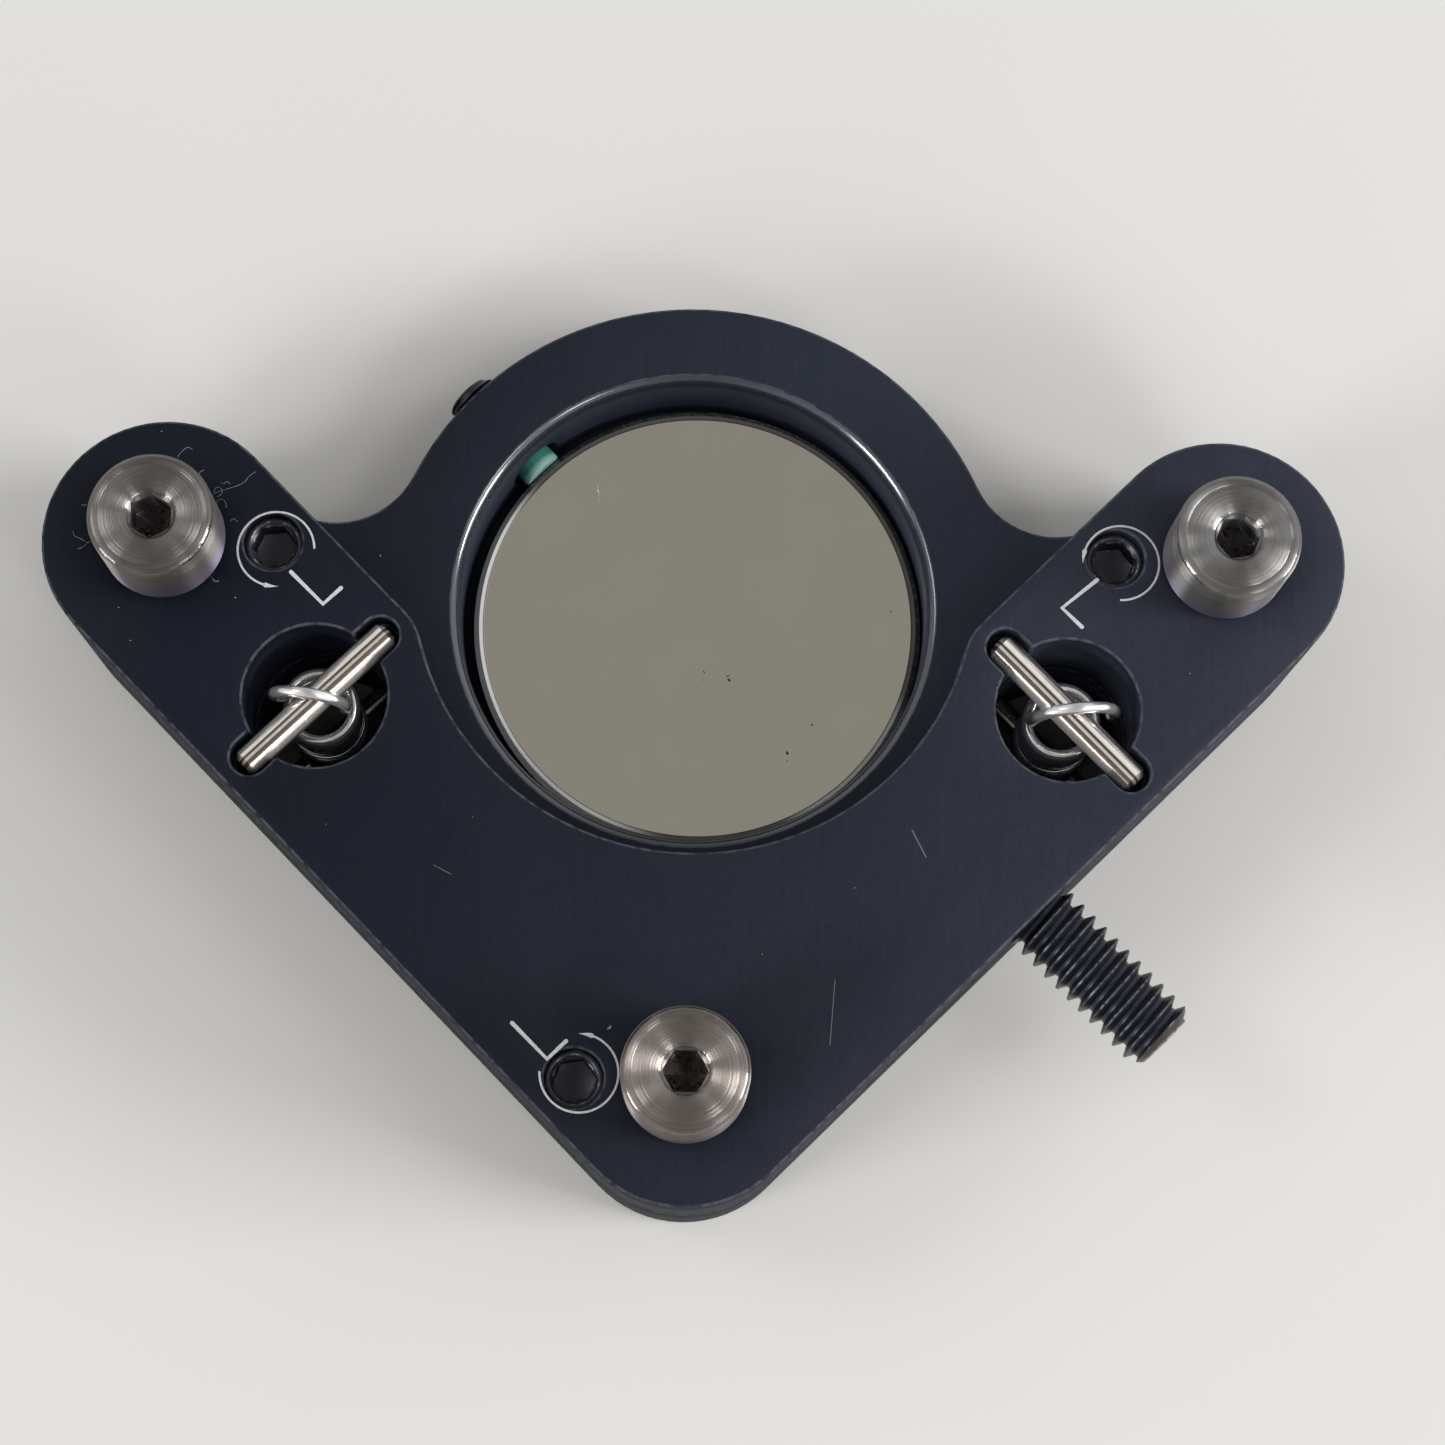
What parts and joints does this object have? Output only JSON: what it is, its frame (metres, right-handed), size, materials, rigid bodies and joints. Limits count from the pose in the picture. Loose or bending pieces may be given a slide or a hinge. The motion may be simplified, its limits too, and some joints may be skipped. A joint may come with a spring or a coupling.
{
  "type": "kinematic mirror mount",
  "caption": "Kinematic mount with two V-shaped plates, sprung together over fine adjusters with locks, holding a round mirror in a ring; a threaded stud fixes it.",
  "frame": {"origin": "mirror axis at the front plate's front face", "axes": "+Z along the mirror axis towards the adjusters, +X towards the arm that carries the stud, apex adjuster towards -Y"},
  "size_m": [0.1052, 0.0767, 0.0293],
  "materials": {
    "anodised_plate": "black anodised, satin, faint brushing",
    "adjuster_steel": "turned stainless steel",
    "ball_steel": "polished",
    "bushing_brass": "turned",
    "pin_steel": "ground",
    "spring_wire": "bright drawn wire",
    "black_steel": "black oxide",
    "seat_steel": "ground, hardened",
    "mirror_glass": "back of a front-surface mirror, seen through the glass",
    "tip_plastic": "green nylon"
  },
  "bodies": {
    "rear_plate": {"rear_plate": "anodised_plate", "bushing_left": "bushing_brass", "bushing_right": "bushing_brass", "bushing_apex": "bushing_brass", "rear_pin_left": "pin_steel", "rear_pin_right": "pin_steel", "mounting_stud": "black_steel", "lock_cap_left": "black_steel", "lock_cap_right": "black_steel", "lock_cap_apex": "black_steel"},
    "ball_left": {"ball_left": "ball_steel"},
    "adjuster_left": {"adjuster_left": "adjuster_steel"},
    "ball_right": {"ball_right": "ball_steel"},
    "adjuster_right": {"adjuster_right": "adjuster_steel"},
    "ball_apex": {"ball_apex": "ball_steel"},
    "adjuster_apex": {"adjuster_apex": "adjuster_steel"},
    "spring_right": {"spring_right": "spring_wire"},
    "spring_left": {"spring_left": "spring_wire"},
    "front_plate": {"front_plate": "anodised_plate", "seat_cone": "seat_steel", "seat_groove": "seat_steel", "seat_flat": "seat_steel", "front_pin_left": "pin_steel", "front_pin_right": "pin_steel", "mirror": "mirror_glass"},
    "lock_cam_left": {"lock_cam_left": "black_steel"},
    "lock_pad_left": {"lock_pad_left": "bushing_brass"},
    "lock_cam_right": {"lock_cam_right": "black_steel"},
    "lock_pad_right": {"lock_pad_right": "bushing_brass"},
    "lock_cam_apex": {"lock_cam_apex": "black_steel"},
    "lock_pad_apex": {"lock_pad_apex": "bushing_brass"},
    "clamp_tip": {"clamp_tip": "tip_plastic"},
    "clamp_screw": {"clamp_screw": "black_steel"}
  },
  "joints": [
    {"name": "adjuster_left_travel", "type": "slide", "parent": "rear_plate", "child": "ball_left", "axis": [0, 0, 1], "range_m": [-0.0005, 0.001]},
    {"name": "adjuster_left_turn", "type": "hinge", "parent": "ball_left", "child": "adjuster_left", "pos_m": [-0.04271, 0.0021, 0.0114], "axis": [0, 0, 1], "range_deg": [-568, 1136]},
    {"name": "adjuster_right_travel", "type": "slide", "parent": "rear_plate", "child": "ball_right", "axis": [0, 0, 1], "range_m": [-0.0005, 0.001]},
    {"name": "adjuster_right_turn", "type": "hinge", "parent": "ball_right", "child": "adjuster_right", "pos_m": [0.04271, 0.0021, 0.0114], "axis": [0, 0, 1], "range_deg": [-568, 1136]},
    {"name": "adjuster_apex_travel", "type": "slide", "parent": "rear_plate", "child": "ball_apex", "axis": [0, 0, 1], "range_m": [-0.0005, 0.001]},
    {"name": "adjuster_apex_turn", "type": "hinge", "parent": "ball_apex", "child": "adjuster_apex", "pos_m": [0, -0.04061, 0.0114], "axis": [0, 0, 1], "range_deg": [-568, 1136]},
    {"name": "tilt_by_apex", "type": "hinge", "parent": "rear_plate", "child": "spring_right", "pos_m": [0, 0.0021, 0.0114], "axis": [-1, 0, 0], "range_deg": [-0.67, 1.34], "deforming": ["spring_right"]},
    {"name": "tilt_by_left", "type": "hinge", "parent": "spring_right", "child": "spring_left", "pos_m": [0, -0.04061, 0.0114], "axis": [0.7071, 0.7071, 0], "range_deg": [-0.48, 0.95], "deforming": ["spring_left"]},
    {"name": "tilt_by_right", "type": "hinge", "parent": "spring_left", "child": "front_plate", "pos_m": [0, -0.04061, 0.0114], "axis": [0.7071, -0.7071, 0], "range_deg": [-0.48, 0.95]},
    {"name": "lock_left_turn", "type": "hinge", "parent": "rear_plate", "child": "lock_cam_left", "pos_m": [-0.03401, 0.0021, 0.01675], "axis": [0, 0, 1], "range_deg": [0, 90.2]},
    {"name": "lock_left_press", "type": "slide", "parent": "rear_plate", "child": "lock_pad_left", "axis": [-1, 0, 0], "range_m": [0, 0.00022]},
    {"name": "lock_right_turn", "type": "hinge", "parent": "rear_plate", "child": "lock_cam_right", "pos_m": [0.03401, 0.0021, 0.01675], "axis": [0, 0, 1], "range_deg": [0, 90.2]},
    {"name": "lock_right_press", "type": "slide", "parent": "rear_plate", "child": "lock_pad_right", "axis": [1, 0, 0], "range_m": [0, 0.00022]},
    {"name": "lock_apex_turn", "type": "hinge", "parent": "rear_plate", "child": "lock_cam_apex", "pos_m": [-0.0087, -0.04061, 0.01675], "axis": [0, 0, 1], "range_deg": [0, 90.2]},
    {"name": "lock_apex_press", "type": "slide", "parent": "rear_plate", "child": "lock_pad_apex", "axis": [1, 0, 0], "range_m": [0, 0.00022]},
    {"name": "clamp_travel", "type": "slide", "parent": "front_plate", "child": "clamp_tip", "axis": [-0.7071, 0.7071, 0], "range_m": [0, 0.00159]},
    {"name": "clamp_turn", "type": "hinge", "parent": "clamp_tip", "child": "clamp_screw", "pos_m": [-0.01768, 0.01768, 0.0047], "axis": [-0.7071, 0.7071, 0], "range_deg": [0, 722]}
  ],
  "couplings": [
    {"joint": "adjuster_left_turn", "follows": "adjuster_left_travel", "rad_per_m": 19790},
    {"joint": "adjuster_right_turn", "follows": "adjuster_right_travel", "rad_per_m": 19790},
    {"joint": "adjuster_apex_turn", "follows": "adjuster_apex_travel", "rad_per_m": 19790},
    {"joint": "tilt_by_apex", "follows": "adjuster_apex_travel", "rad_per_m": 23.414},
    {"joint": "tilt_by_left", "follows": "adjuster_left_travel", "rad_per_m": 16.556},
    {"joint": "tilt_by_right", "follows": "adjuster_right_travel", "rad_per_m": 16.556},
    {"joint": "lock_left_turn", "follows": "lock_left_press", "rad_per_m": 7140},
    {"joint": "lock_right_turn", "follows": "lock_right_press", "rad_per_m": 7140},
    {"joint": "lock_apex_turn", "follows": "lock_apex_press", "rad_per_m": 7140},
    {"joint": "clamp_turn", "follows": "clamp_travel", "rad_per_m": 7915.8}
  ]
}
